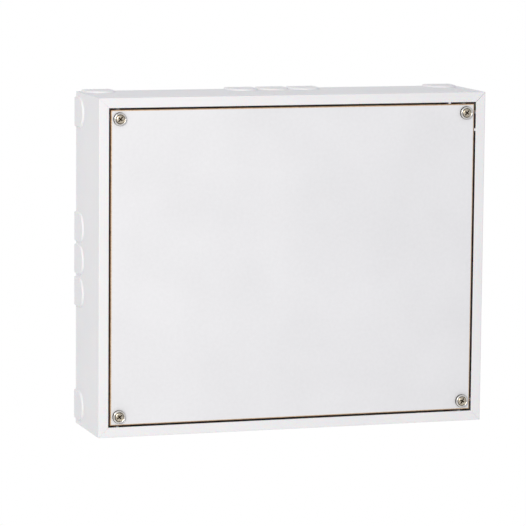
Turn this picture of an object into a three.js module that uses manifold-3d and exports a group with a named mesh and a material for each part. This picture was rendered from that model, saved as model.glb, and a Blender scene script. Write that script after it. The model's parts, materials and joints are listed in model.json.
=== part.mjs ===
// Residential load center: a shallow surface-mounted enclosure.
// Four mitred side mouldings with knock-outs, a screwed-on blank cover board, and behind it
// a rail of modular switches with their busbar, neutral bar and earth bar.
// Millimetres. X is right, Y goes into the wall, Z is up. The origin is on the wall, mid back.
import * as THREE from 'three';
import { mergeVertices } from 'three/addons/utils/BufferGeometryUtils.js';
import Module from 'manifold-3d';

const wasm = await Module();
wasm.setup();

// ---- Sizes that set everything else -------------------------------------------------------

const width = 360; // outer, across the front
const height = 300; // outer, up the front
const fit = 0.3; // gap left between pieces that touch
const overcut = 5; // how far a cutting solid runs past what it cuts
const weld = 1; // how far a joined solid runs into its neighbour

// Side mouldings
const wall = 2.5; // thickness of the outer wall
const skin = 2.5; // thickness of the front flange
const flange = 9; // width of the front flange, from the outer face
const flangeUndercut = 2; // how far the flange's edge slopes back out of the gap
const outerRound = 0.8; // rounding of the outer front edge
const innerRound = 0.5; // rounding of the opening's front edge
const mitreGap = 0.3;

// Centring ribs on the flange's edge, beside the board at its top right corner
const ribRoot = 1; // how far the rib runs into the flange
const ribWidth = 2.4;
const ribBack = 0.9; // how far the rib stands behind the front face
const ribFromCorner = 34;

// Knock-outs: raised arches open to the rear edge, hollow behind
const archRadius = 13.7;
const archStraight = 14.8; // rear edge to the centre of the arch
const archRise = 1.6;
const archSlope = 1.1; // run of the sloping rim
const archRoot = 0.3; // straight stretch of the pad below its slope
const archWeb = 1; // thickness left to knock out
const archRim = 3.2; // width of solid rim round the web
const archGap = 1.9; // between the middle three
const archToCorner = 4.3; // from the outer corner to the edge of the outermost one
const middleArches = 3;

// Fixing lugs that hold the sides down on the back plate
const lugWidth = 18;
const lugReach = 15;
const lugThickness = 3;
const fixingHole = 5;

// Back plate
const plateThickness = 2.5;

// Cover board and its screws
const boardThickness = 5;
const boardGap = 1.5; // between the board and the opening
const boardChamfer = 1.1;
const boardChamferDepth = 0.8;
const screwInset = 18.5; // from the outer faces to a screw
const screwShank = 3.7;
const screwHole = 5;
const screwLength = 19; // from the board's face to the tip
const headRadius = 3.6;
const headCone = 1.7; // height of the countersunk cone
const headDome = 0.6;
const domeSteps = [[0.72, 0.55], [0.38, 0.9]]; // shares of the head's radius and of the dome's height
const tipRadius = 1.1;
const tipLength = 1.2;
const slotWidth = 1;
const slotLength = 5;
const slotDepth = 1.2;
const screwTurns = { tl: 50, tr: 50, bl: 35, br: 60 }; // where each slot came to rest, degrees
const cupRadius = 6;
const cupTopRadius = 5.2;
const cupHeight = 2.9;
const cupFoot = 0.5; // thickness at the cup's edge and at its throat
const cupLip = 0.7; // the head's edge lies this far below the cup's rim
const cupRing = 0.5; // width of the cup's flat rim

// Corner brackets
const legLength = 40;
const legThickness = 3;
const postRadius = 6;
const gusset = 3;
const bracketToArch = 5; // kept free in front of a knock-out for the conduit
const insertFlats = 6.6; // threaded insert, across the flats
const insertLength = 10;
const insertBore = 4.3;
const postFloor = 4; // solid left at the rear of the post, behind the screw's hole

// Rail
const railDepth = 7.5;
const railWidth = 35;
const railChannel = 27;
const railSheet = 1;
const railToWall = 24; // rail's end to the side's inner face
const railSlotLength = 15;
const railSlotWidth = 5.2;
const railSlotPitch = 25;
const railScrewHead = 4.5;
const railScrewHeadHeight = 2.4;
const railScrewEdge = 1.44; // height of the head's straight edge
const railScrewTop = 3.15; // radius of the head's flat top
const railScrewSlot = 4.95; // length of its slot
const railScrewShank = 4;

// Modular devices
const moduleWidth = 18;
const moduleGap = 0.5;
const breakers = 6;
const mainModules = 2;
const deviceHalf = 42.5;
const deviceShoulder = 44; // from the rail's front to the shoulder
const deviceNose = 56.2; // from the rail's front to the nose
const noseHalf = 22.5;
const hookDepth = 4.8; // how far the device reaches back past the rail's front
const hookHold = 2.5;
const toggleReach = 62.2; // from the rail's front to the tip of a toggle, straight out
const toggleTilt = 38; // on and off, each side of straight out
const toggleWidth = 7.4;
const mainToggleWidth = 23;
const drumRadius = 10.8;
const drumPlay = 0.1; // more room round the drum than the usual fit
const drumSunk = 8.964; // nose to the drum's axis
const leverThickness = 4.6;
const leverSwell = 1; // thicker by this at the root, each side
const leverTaper = 0.4; // thinner by this at the tip, each side
const leverNose = [1, 0.6]; // the tip's corners, along and across the lever
const pivotRadius = 1.5;
const pivotReach = 1.2;
const toggleClearance = 2.5; // between a toggle's tip and the cover board
const terminalWidth = 7;
const terminalDepth = 11;
const terminalHeight = 9;
const terminalFromShoulder = 18.3; // shoulder to the near edge of the wire entry
const driverHole = 3.1;
const driverHoleDepth = 9;
const driverHoleFromEnd = 8;

// Rail clip at the foot of each device
const clipWidth = 7.4;
const clipThickness = 2.4;
const clipTravel = 4;
const clipTab = 4;
const clipEye = 1.2;

// Comb busbar and its cover
const combThickness = 1.5;
const combHeight = 6;
const combToothWidth = 4;
const combToothReach = 8;
const combToDevice = 3;
const combCoverWall = 1.2;
const combCoverRim = 1; // the cover stands up past the comb's back by this
const combCoverEnd = 2; // and past its outermost teeth by this

// Neutral and earth bars
const barHoles = 9;
const barPitch = 9;
const barHeight = 10;
const barDepth = 8;
const barWireHole = 2.2;
const barScrewHole = 1.7;
const barEnd = 7;
const holderFoot = 14;
const holderHeight = 16;
const holderRise = 14; // back plate to the rear of the bar
const holderBridge = 3;
const holderCheek = 2;

// ---- Sizes that follow --------------------------------------------------------------------

const railFront = plateThickness + fit + railDepth;
const depth = railFront + toggleReach + toggleClearance + boardThickness;
const boardRear = -depth + boardThickness;
const halfWidth = width / 2;
const halfHeight = height / 2;
const archDepth = archStraight + archRadius;
const archPitch = archRadius * 2 + archGap;
const archFromCorner = archToCorner + archRadius;
const bracketRear = -(archDepth + bracketToArch);
const postX = halfWidth - screwInset;
const postZ = halfHeight - screwInset;
const corners = { tl: [-1, 1], tr: [1, 1], bl: [-1, -1], br: [1, -1] };
const deviceRear = -railFront + hookDepth;
const pivotY = -(railFront + deviceNose) + drumSunk;
const leverRadius = railFront + toggleReach + pivotY;
const rowWidth = (breakers + mainModules) * moduleWidth;
const barZ = (deviceHalf + halfHeight) / 2;

// ---- Looks --------------------------------------------------------------------------------

const looks = {
  whitePlastic: [0xeceef1, 0.5, 0],
  melamine: [0xe9ebec, 0.42, 0],
  plainPlate: [0xd9dbd8, 0.6, 0],
  zinc: [0xb9b8b2, 0.35, 1],
  yellowZinc: [0xa89358, 0.38, 1],
  brass: [0xb79a52, 0.35, 1],
  copper: [0xb06a45, 0.35, 1],
  deviceGrey: [0xdfe0de, 0.45, 0],
  toggleBlack: [0x1f2226, 0.4, 0],
  toggleBlue: [0x2c5a96, 0.4, 0],
  combGrey: [0x8d9196, 0.55, 0],
};

function finish(look) {
  const [color, roughness, metalness] = looks[look];
  return new THREE.MeshStandardMaterial({ color, roughness, metalness });
}

// ---- Tools --------------------------------------------------------------------------------

// Shapes for the prisms: prismX takes (y, z) outlines, prismY takes (x, z) outlines.
const alongX = new THREE.Matrix4().makeBasis(
  new THREE.Vector3(0, 1, 0), new THREE.Vector3(0, 0, 1), new THREE.Vector3(1, 0, 0));
const alongY = new THREE.Matrix4().makeBasis(
  new THREE.Vector3(1, 0, 0), new THREE.Vector3(0, 0, 1), new THREE.Vector3(0, -1, 0));

function radians(degrees) {
  return THREE.MathUtils.degToRad(degrees);
}

function solidOf(geometry) {
  const bare = geometry.clone();
  bare.deleteAttribute('normal');
  bare.deleteAttribute('uv');
  const merged = mergeVertices(bare);
  const vertProperties = Float32Array.from(merged.attributes.position.array);
  const triVerts = Uint32Array.from(merged.index.array);
  return new wasm.Manifold(new wasm.Mesh({ numProp: 3, vertProperties, triVerts }));
}

function geometryOf(solid) {
  const mesh = solid.getMesh();
  const geometry = new THREE.BufferGeometry();
  geometry.setAttribute('position', new THREE.BufferAttribute(mesh.vertProperties, 3));
  geometry.setIndex(new THREE.BufferAttribute(mesh.triVerts, 1));
  const flat = geometry.toNonIndexed();
  flat.computeVertexNormals();
  return flat;
}

// One body made of `base`, with the `added` geometries joined on and the `removed` ones cut out.
function carve(base, { added = [], removed = [] }) {
  let solid = solidOf(base);
  for (const piece of added) solid = solid.add(solidOf(piece));
  for (const piece of removed) solid = solid.subtract(solidOf(piece));
  return geometryOf(solid);
}

function outline(points) {
  return new THREE.Shape(points.map(([u, v]) => new THREE.Vector2(u, v)));
}

function block([xa, xb], [ya, yb], [za, zb]) {
  const geometry = new THREE.BoxGeometry(Math.abs(xb - xa), Math.abs(yb - ya), Math.abs(zb - za));
  return geometry.translate((xa + xb) / 2, (ya + yb) / 2, (za + zb) / 2);
}

function prismX(shape, [x0, x1], curveSegments = 4) {
  const geometry = new THREE.ExtrudeGeometry(shape,
    { depth: x1 - x0, bevelEnabled: false, curveSegments });
  return geometry.applyMatrix4(alongX).translate(x0, 0, 0);
}

function prismY(shape, [y0, y1], curveSegments = 8) {
  const geometry = new THREE.ExtrudeGeometry(shape,
    { depth: y1 - y0, bevelEnabled: false, curveSegments });
  return geometry.applyMatrix4(alongY).translate(0, y1, 0);
}

function rodY(radius, [y0, y1], [x, z], sides = 16) {
  const geometry = new THREE.CylinderGeometry(radius, radius, y1 - y0, sides);
  return geometry.translate(x, (y0 + y1) / 2, z);
}

function rodX(radius, [x0, x1], [y, z], sides = 20) {
  const geometry = new THREE.CylinderGeometry(radius, radius, x1 - x0, sides);
  return geometry.rotateZ(Math.PI / 2).translate((x0 + x1) / 2, y, z);
}

function rodZ(radius, [z0, z1], [x, y], sides = 12) {
  const geometry = new THREE.CylinderGeometry(radius, radius, z1 - z0, sides);
  return geometry.rotateX(Math.PI / 2).translate(x, y, (z0 + z1) / 2);
}

// A slot with round ends, lying along X or Z in the (x, z) plane.
function slotShape([x, z], length, across, upright = false) {
  const r = across / 2;
  const half = length / 2 - r;
  const shape = new THREE.Shape();
  const turn = upright ? Math.PI / 2 : 0;
  const [dx, dz] = upright ? [0, half] : [half, 0];
  shape.absarc(x + dx, z + dz, r, turn - Math.PI / 2, turn + Math.PI / 2, false);
  shape.absarc(x - dx, z - dz, r, turn + Math.PI / 2, turn + Math.PI * 1.5, false);
  return shape;
}

function hexagon([x, z], flats) {
  const r = flats / Math.sqrt(3);
  const points = [];
  for (let i = 0; i < 6; i += 1) {
    const turn = radians(60 * i);
    points.push([x + r * Math.cos(turn), z + r * Math.sin(turn)]);
  }
  return outline(points);
}

const product = new THREE.Group();

function addPiece(parent, name, geometry, look) {
  const mesh = new THREE.Mesh(geometry, finish(look));
  mesh.name = name;
  parent.add(mesh);
  return mesh;
}

// ---- Side mouldings -----------------------------------------------------------------------
// Each is drawn as the top one: it lies along X with its outer face at z = half.

function sideProfile(half) {
  const opening = half - flange;
  const shape = new THREE.Shape();
  shape.moveTo(0, half);
  shape.lineTo(-depth + outerRound, half);
  shape.absarc(-depth + outerRound, half - outerRound, outerRound, Math.PI / 2, Math.PI, false);
  shape.absarc(-depth + innerRound, opening + innerRound, innerRound, Math.PI, Math.PI * 1.5, false);
  shape.lineTo(-depth + skin, opening + flangeUndercut);
  shape.lineTo(-depth + skin, half - wall);
  shape.lineTo(0, half - wall);
  return shape;
}

function archShape(x, radius) {
  const shape = new THREE.Shape();
  shape.moveTo(x + radius, overcut);
  shape.lineTo(x + radius, -archStraight);
  shape.absarc(x, -archStraight, radius, 0, -Math.PI, true);
  shape.lineTo(x - radius, overcut);
  return shape;
}

function archPad(x, half) {
  const geometry = new THREE.ExtrudeGeometry(archShape(x, archRadius), {
    depth: archRoot,
    bevelThickness: archRise,
    bevelSize: archSlope,
    bevelOffset: -archSlope,
    bevelSegments: 1,
    curveSegments: 9,
  });
  return geometry.translate(0, 0, half - archRoot);
}

function archHollow(x, half) {
  const geometry = new THREE.ExtrudeGeometry(archShape(x, archRadius - archRim), {
    depth: wall + overcut + archRise - archWeb,
    bevelEnabled: false,
    curveSegments: 5,
  });
  return geometry.translate(0, 0, half - wall - overcut);
}

function archPlaces(length) {
  const places = [archFromCorner - length / 2, length / 2 - archFromCorner];
  for (let i = 0; i < middleArches; i += 1) {
    places.push((i - (middleArches - 1) / 2) * archPitch);
  }
  return places;
}

// Midway between the middle knock-outs and the outermost one.
function lugPlace(length) {
  const middleEnd = ((middleArches - 1) / 2) * archPitch + archRadius;
  const outerEnd = length / 2 - archFromCorner - archRadius;
  return (middleEnd + outerEnd) / 2;
}

function lug(x, half) {
  const rear = -plateThickness - fit;
  const root = half - wall / 2;
  const reach = half - wall - lugReach;
  return block([x - lugWidth / 2, x + lugWidth / 2], [rear - lugThickness, rear], [reach, root]);
}

function lugHole(x, half) {
  const place = [x, half - wall - lugReach / 2];
  return rodY(fixingHole / 2, [-plateThickness - lugThickness - overcut, 0], place, 12);
}

function rib(x, half) {
  const opening = half - flange;
  return block([x - ribWidth / 2, x + ribWidth / 2], [-depth + ribBack, -depth + skin],
    [opening - boardGap + fit, opening + ribRoot]);
}

// Everything past the 45 degree plane through one end of the side.
function mitreCut(length, half, sign) {
  const back = (mitreGap / 2) * Math.SQRT2;
  const run = flange + wall + lugReach + overcut * 2;
  const end = length / 2 - back;
  const shape = outline([
    [sign * (end + overcut), half + overcut],
    [sign * (end - run), half - run],
    [sign * (end + run), half - run],
    [sign * (end + run), half + overcut],
  ]);
  return prismY(shape, [-depth - overcut, overcut]);
}

// `ribEnd` is 1 or -1 for a side with a centring rib near that end, and 0 for one without.
function sideGeometry(length, half, ribEnd) {
  const arches = archPlaces(length);
  const lugs = [-lugPlace(length), lugPlace(length)];
  const ribs = ribEnd === 0 ? [] : [ribEnd * (length / 2 - ribFromCorner)];
  const pastRear = block([-length, length], [0, overcut * 3], [0, half * 2]);
  return carve(prismX(sideProfile(half), [-length / 2, length / 2]), {
    added: [
      ...arches.map((x) => archPad(x, half)),
      ...lugs.map((x) => lug(x, half)),
      ...ribs.map((x) => rib(x, half)),
    ],
    removed: [
      pastRear,
      ...arches.map((x) => archHollow(x, half)),
      ...lugs.map((x) => lugHole(x, half)),
      mitreCut(length, half, 1),
      mitreCut(length, half, -1),
    ],
  });
}

function addSides() {
  const sides = [
    ['frame_top', width, halfHeight, 0, 1],
    ['frame_right', height, halfWidth, 90, -1],
    ['frame_bottom', width, halfHeight, 180, 0],
    ['frame_left', height, halfWidth, 270, 0],
  ];
  for (const [name, length, half, turn, ribEnd] of sides) {
    const mesh = addPiece(product, name, sideGeometry(length, half, ribEnd), 'whitePlastic');
    mesh.rotation.y = radians(turn);
  }
}

// ---- Corner brackets and their threaded inserts -------------------------------------------

function bracketGeometry([sx, sz]) {
  const outX = sx * (halfWidth - wall - fit);
  const outZ = sz * (halfHeight - wall - fit);
  const inX = outX - sx * legThickness;
  const inZ = outZ - sz * legThickness;
  const legDepth = [-depth + skin + fit, bracketRear];
  const webDepth = [boardRear + fit, bracketRear];
  const [px, pz] = [sx * postX, sz * postZ];
  const seat = boardRear + fit;
  const bottom = -depth + screwLength + postFloor;
  const post = [seat, Math.max(bracketRear, bottom + postFloor)];
  return carve(block([outX, outX - sx * legLength], legDepth, [outZ, inZ]), {
    added: [
      block([outX, inX], legDepth, [outZ, outZ - sz * legLength]),
      block([inX + sx * weld, px], webDepth, [pz - gusset / 2, pz + gusset / 2]),
      block([px - gusset / 2, px + gusset / 2], webDepth, [inZ + sz * weld, pz]),
      rodY(postRadius, post, [px, pz], 24),
    ],
    removed: [
      prismY(hexagon([px, pz], insertFlats + fit * 2), [seat - overcut, seat + insertLength + fit * 2]),
      rodY(insertBore / 2, [seat, bottom], [px, pz], 16),
    ],
  });
}

function insertGeometry([sx, sz]) {
  const place = [sx * postX, sz * postZ];
  const shape = hexagon(place, insertFlats);
  const bore = new THREE.Path();
  bore.absarc(...place, insertBore / 2, 0, Math.PI * 2, false);
  shape.holes.push(bore);
  const front = boardRear + fit * 2;
  return prismY(shape, [front, front + insertLength]);
}

function addCorners() {
  for (const [corner, signs] of Object.entries(corners)) {
    addPiece(product, `corner_bracket_${corner}`, bracketGeometry(signs), 'whitePlastic');
    addPiece(product, `threaded_insert_${corner}`, insertGeometry(signs), 'brass');
  }
}

// ---- Cover board, cup washers and screws --------------------------------------------------

function boardGeometry() {
  const x = halfWidth - flange - boardGap;
  const z = halfHeight - flange - boardGap;
  const shape = outline([[-x, -z], [x, -z], [x, z], [-x, z]]);
  for (const [sx, sz] of Object.values(corners)) {
    const hole = new THREE.Path();
    hole.absarc(sx * postX, sz * postZ, screwHole / 2 + boardChamfer, 0, Math.PI * 2, true);
    shape.holes.push(hole);
  }
  const geometry = new THREE.ExtrudeGeometry(shape, {
    depth: boardThickness - boardChamferDepth * 2,
    bevelThickness: boardChamferDepth,
    bevelSize: boardChamfer,
    bevelOffset: -boardChamfer,
    bevelSegments: 1,
    curveSegments: 8,
  });
  return geometry.applyMatrix4(alongY).translate(0, boardRear - boardChamferDepth, 0);
}

// Heights in the next two are measured out of the board's face; y = -height once placed.
function cupGeometry() {
  const throat = screwHole / 2;
  const inner = cupTopRadius - cupRing;
  const profile = [
    [throat, fit], [cupRadius, fit], [cupRadius, fit + cupFoot], [cupTopRadius, cupHeight],
    [inner, cupHeight], [throat, fit + cupFoot], [throat, fit],
  ];
  const points = profile.map(([r, out]) => new THREE.Vector2(r, out));
  return new THREE.LatheGeometry(points, 24).rotateX(Math.PI);
}

function screwGeometry() {
  const edge = cupHeight - cupLip;
  const shank = screwShank / 2;
  const profile = [
    [0, -screwLength], [tipRadius, -screwLength], [shank, -screwLength + tipLength],
    [shank, edge - headCone], [headRadius, edge],
    ...domeSteps.map(([across, up]) => [headRadius * across, edge + headDome * up]),
    [0, edge + headDome],
  ];
  const points = profile.map(([r, out]) => new THREE.Vector2(r, out));
  const floor = edge + headDome - slotDepth;
  const along = [floor, floor + overcut];
  return carve(new THREE.LatheGeometry(points, 24), {
    removed: [
      block([-slotLength / 2, slotLength / 2], along, [-slotWidth / 2, slotWidth / 2]),
      block([-slotWidth / 2, slotWidth / 2], along, [-slotLength / 2, slotLength / 2]),
    ],
  }).rotateX(Math.PI);
}

function addCover() {
  addPiece(product, 'cover_board', boardGeometry(), 'melamine');
  for (const [corner, [sx, sz]] of Object.entries(corners)) {
    const place = new THREE.Group();
    place.position.set(sx * postX, -depth, sz * postZ);
    addPiece(place, `cup_washer_${corner}`, cupGeometry(), 'zinc');
    const screw = addPiece(place, `cover_screw_${corner}`, screwGeometry(), 'yellowZinc');
    screw.rotation.y = -radians(screwTurns[corner]);
    product.add(place);
  }
}

// ---- Back plate and rail ------------------------------------------------------------------

const railEnd = halfWidth - wall - railToWall;
const railSlotCount = Math.floor((railEnd * 2 - railSlotLength) / railSlotPitch / 2) * 2 + 1;
const railScrewX = ((railSlotCount - 1) / 2 - 1) * railSlotPitch;

function plateGeometry() {
  const x = halfWidth - wall - fit;
  const z = halfHeight - wall - fit;
  const acrossLug = halfHeight - wall - lugReach / 2;
  const uprightLug = halfWidth - wall - lugReach / 2;
  const cuts = [];
  for (const sign of [-1, 1]) {
    for (const side of [-1, 1]) {
      cuts.push([sign * lugPlace(width), side * acrossLug, fixingHole / 2]);
      cuts.push([side * uprightLug, sign * lugPlace(height), fixingHole / 2]);
    }
    cuts.push([sign * railScrewX, 0, railScrewShank / 2 + fit]);
  }
  return carve(block([-x, x], [-plateThickness, 0], [-z, z]), {
    removed: cuts.map(([px, pz, r]) => rodY(r, [-plateThickness - overcut, overcut], [px, pz], 12)),
  });
}

function railGeometry() {
  const base = -plateThickness - fit;
  const front = -railFront;
  const lip = railWidth / 2;
  const channel = railChannel / 2;
  const profile = outline([
    [base, -channel], [base, channel], [front + railSheet, channel], [front + railSheet, lip],
    [front, lip], [front, channel - railSheet], [base - railSheet, channel - railSheet],
    [base - railSheet, railSheet - channel], [front, railSheet - channel], [front, -lip],
    [front + railSheet, -lip], [front + railSheet, -channel],
  ]);
  const slots = [];
  for (let i = 0; i < railSlotCount; i += 1) {
    const x = (i - (railSlotCount - 1) / 2) * railSlotPitch;
    const shape = slotShape([x, 0], railSlotLength, railSlotWidth);
    slots.push(prismY(shape, [base - railSheet - overcut, base + overcut], 4));
  }
  return carve(prismX(profile, [-railEnd, railEnd]), { removed: slots });
}

function railScrewGeometry() {
  const seat = plateThickness + fit + railSheet + fit;
  const shank = railScrewShank / 2;
  const profile = [
    [0, fit], [shank, fit], [shank, seat], [railScrewHead, seat],
    [railScrewHead, seat + railScrewEdge], [railScrewTop, seat + railScrewHeadHeight],
    [0, seat + railScrewHeadHeight],
  ];
  const points = profile.map(([r, out]) => new THREE.Vector2(r, out));
  const top = seat + railScrewHeadHeight;
  const half = railScrewSlot / 2;
  return carve(new THREE.LatheGeometry(points, 16), {
    removed: [block([-half, half], [top - slotDepth, top + overcut], [-slotWidth / 2, slotWidth / 2])],
  }).rotateX(Math.PI);
}

function addBack() {
  addPiece(product, 'back_plate', plateGeometry(), 'plainPlate');
  addPiece(product, 'din_rail', railGeometry(), 'zinc');
  for (const [name, sign] of [['rail_screw_left', -1], ['rail_screw_right', 1]]) {
    addPiece(product, name, railScrewGeometry(), 'zinc').position.x = sign * railScrewX;
  }
}

// ---- Modular devices ----------------------------------------------------------------------

function deviceProfile() {
  const seat = -railFront - fit;
  const shoulder = -railFront - deviceShoulder;
  const nose = -railFront - deviceNose;
  const lip = railWidth / 2 + fit;
  const hookFace = -railFront + railSheet + fit;
  const foot = -(railWidth / 2 + clipTravel);
  return outline([
    [deviceRear, deviceHalf], [shoulder, deviceHalf], [shoulder, noseHalf], [nose, noseHalf],
    [nose, -noseHalf], [shoulder, -noseHalf], [shoulder, -deviceHalf], [deviceRear, -deviceHalf],
    [deviceRear, foot], [seat, foot], [seat, lip], [hookFace, lip], [hookFace, lip - hookHold],
    [deviceRear, lip - hookHold],
  ]);
}

// The pole centres of a device that is `modules` wide, about its own middle.
function poleCentres(modules) {
  const centres = [];
  for (let i = 0; i < modules; i += 1) centres.push((i - (modules - 1) / 2) * moduleWidth);
  return centres;
}

function terminalCuts(modules) {
  const shoulder = -railFront - deviceShoulder;
  const near = shoulder + terminalFromShoulder;
  const half = terminalWidth / 2;
  const cuts = [];
  for (const x of poleCentres(modules)) {
    for (const sign of [-1, 1]) {
      const end = sign * (deviceHalf + overcut);
      const floor = sign * (deviceHalf - terminalDepth);
      cuts.push(block([x - half, x + half], [near, near + terminalHeight], [end, floor]));
      const hole = [x, sign * (deviceHalf - driverHoleFromEnd)];
      cuts.push(rodY(driverHole, [shoulder - overcut, shoulder + driverHoleDepth], hole, 12));
    }
  }
  return cuts;
}

function toggleCuts(lever) {
  const half = lever / 2 + fit;
  const reach = drumRadius + fit + drumPlay;
  const nose = -railFront - deviceNose;
  const trunnion = half + pivotReach + fit;
  return [
    block([-half, half], [nose - overcut, pivotY], [-reach, reach]),
    rodX(reach, [-half, half], [pivotY, 0], 24),
    rodX(pivotRadius + fit, [-trunnion, trunnion], [pivotY, 0], 12),
  ];
}

function clipSlot() {
  const front = -railFront + railSheet + fit;
  const half = clipWidth / 2 + fit;
  return block([-half, half], [front, overcut], [-deviceHalf - overcut, -railWidth / 2]);
}

function deviceGeometry(modules, lever) {
  const half = (modules * moduleWidth - moduleGap) / 2;
  return carve(prismX(deviceProfile(), [-half, half]), {
    removed: [...terminalCuts(modules), ...toggleCuts(lever), clipSlot()],
  });
}

// A drum on two trunnions with the lever straight out; the mesh is tilted up into its ON place.
function toggleGeometry(lever) {
  const half = lever / 2;
  const trunnion = half + pivotReach;
  const root = leverThickness / 2 + leverSwell;
  const tip = leverThickness / 2 - leverTaper;
  const [along, across] = leverNose;
  const shape = outline([
    [-drumRadius / 2, -root], [-leverRadius + along, -tip - across], [-leverRadius, -tip + across],
    [-leverRadius, tip - across], [-leverRadius + along, tip + across], [-drumRadius / 2, root],
  ]);
  return carve(rodX(drumRadius, [-half, half], [0, 0], 28), {
    added: [
      prismX(shape, [-half, half]),
      rodX(pivotRadius, [-trunnion, trunnion], [0, 0], 12),
    ],
  });
}

function clipGeometry() {
  const half = clipWidth / 2;
  const front = -railFront + railSheet + fit * 2;
  const hook = -railWidth / 2 + hookHold;
  const tail = -deviceHalf - clipTab;
  const through = [front - overcut, front + clipThickness + overcut];
  const eye = rodY(clipEye, through, [0, tail + clipTab / 2], 10);
  return carve(block([-half, half], [front, front + clipThickness], [tail, hook]), { removed: [eye] });
}

function addDevice(prefix, x, modules, lever, toggleLook) {
  const place = new THREE.Group();
  place.position.x = x;
  addPiece(place, `${prefix}_body`, deviceGeometry(modules, lever), 'deviceGrey');
  const toggle = addPiece(place, `${prefix}_toggle`, toggleGeometry(lever), toggleLook);
  toggle.position.y = pivotY;
  toggle.rotation.x = -radians(toggleTilt);
  addPiece(place, `${prefix}_rail_clip`, clipGeometry(), 'combGrey');
  product.add(place);
}

function addDevices() {
  const left = -rowWidth / 2;
  addDevice('main_switch', left + (mainModules * moduleWidth) / 2, mainModules, mainToggleWidth,
    'toggleBlue');
  for (let i = 0; i < breakers; i += 1) {
    const x = left + (mainModules + i + 0.5) * moduleWidth;
    addDevice(`breaker_${i + 1}`, x, 1, toggleWidth, 'toggleBlack');
  }
}

// ---- Comb busbar --------------------------------------------------------------------------

const combMiddle = -railFront - deviceShoulder + terminalFromShoulder + terminalHeight / 2;
const combFaces = [combMiddle - combThickness / 2, combMiddle + combThickness / 2];
const combTop = -deviceHalf - combToDevice;

function combPlaces() {
  const first = -rowWidth / 2 + (mainModules - 0.5) * moduleWidth;
  const places = [];
  for (let i = 0; i <= breakers; i += 1) places.push(first + i * moduleWidth);
  return places;
}

function combGeometry() {
  const places = combPlaces();
  const half = combToothWidth / 2;
  const ends = [places[0] - half, places[places.length - 1] + half];
  const teeth = places.map((x) => block([x - half, x + half], combFaces,
    [combTop - weld, -deviceHalf + combToothReach]));
  return carve(block(ends, combFaces, [combTop - combHeight, combTop]), { added: teeth });
}

function combCoverGeometry() {
  const places = combPlaces();
  const [rear, front] = [combFaces[1] + fit, combFaces[0] - fit];
  const floor = combTop - combHeight - fit;
  const rim = combTop + combCoverRim;
  const profile = outline([
    [front - combCoverWall, rim], [front - combCoverWall, floor - combCoverWall],
    [rear + combCoverWall, floor - combCoverWall], [rear + combCoverWall, rim],
    [rear, rim], [rear, floor], [front, floor], [front, rim],
  ]);
  const past = combToothWidth / 2 + combCoverEnd;
  return prismX(profile, [places[0] - past, places[places.length - 1] + past]);
}

function addComb() {
  addPiece(product, 'comb_busbar', combGeometry(), 'copper');
  addPiece(product, 'comb_busbar_cover', combCoverGeometry(), 'combGrey');
}

// ---- Neutral and earth bars ---------------------------------------------------------------

const barHalf = ((barHoles - 1) / 2) * barPitch + barEnd;
const barRear = -plateThickness - fit - holderRise - fit;

function barGeometry() {
  const middle = barRear - barDepth / 2;
  const cuts = [];
  for (let i = 0; i < barHoles; i += 1) {
    const x = (i - (barHoles - 1) / 2) * barPitch;
    cuts.push(rodZ(barWireHole, [-barHeight, barHeight], [x, middle], 8));
    cuts.push(rodY(barScrewHole, [barRear - barDepth - overcut, middle], [x, 0], 8));
  }
  return carve(block([-barHalf, barHalf], [barRear - barDepth, barRear],
    [-barHeight / 2, barHeight / 2]), { removed: cuts });
}

// Two feet on the back plate and a bridge that the bar lies on, with a cheek at each end.
function holderGeometry() {
  const rear = -plateThickness - fit;
  const front = rear - holderRise;
  const outer = barHalf + fit + holderCheek;
  const profile = outline([
    [-outer, rear], [-outer + holderFoot, rear], [-outer + holderFoot, front + holderBridge],
    [outer - holderFoot, front + holderBridge], [outer - holderFoot, rear], [outer, rear],
    [outer, front - barDepth / 2], [barHalf + fit, front - barDepth / 2], [barHalf + fit, front],
    [-barHalf - fit, front], [-barHalf - fit, front - barDepth / 2], [-outer, front - barDepth / 2],
  ]);
  const geometry = new THREE.ExtrudeGeometry(profile, { depth: holderHeight, bevelEnabled: false });
  return geometry.translate(0, 0, -holderHeight / 2);
}

function addBars() {
  for (const [name, z, look] of [['neutral', barZ, 'brass'], ['earth', -barZ, 'brass']]) {
    const place = new THREE.Group();
    place.position.z = z;
    addPiece(place, `${name}_bar`, barGeometry(), look);
    addPiece(place, `${name}_bar_holder`, holderGeometry(), 'combGrey');
    product.add(place);
  }
}

addSides();
addCorners();
addCover();
addBack();
addDevices();
addComb();
addBars();

export default product;
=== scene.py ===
"""Looks of a surface-mounted load center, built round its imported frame.

Four mitred side mouldings hold a screwed melamine board. Behind it a rail carries a main switch and
six breakers, with a comb busbar, a neutral bar and an earth bar.
"""
import json
import logging
import math
from dataclasses import dataclass, replace
from enum import Enum
from typing import Any, Callable, ClassVar

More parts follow.
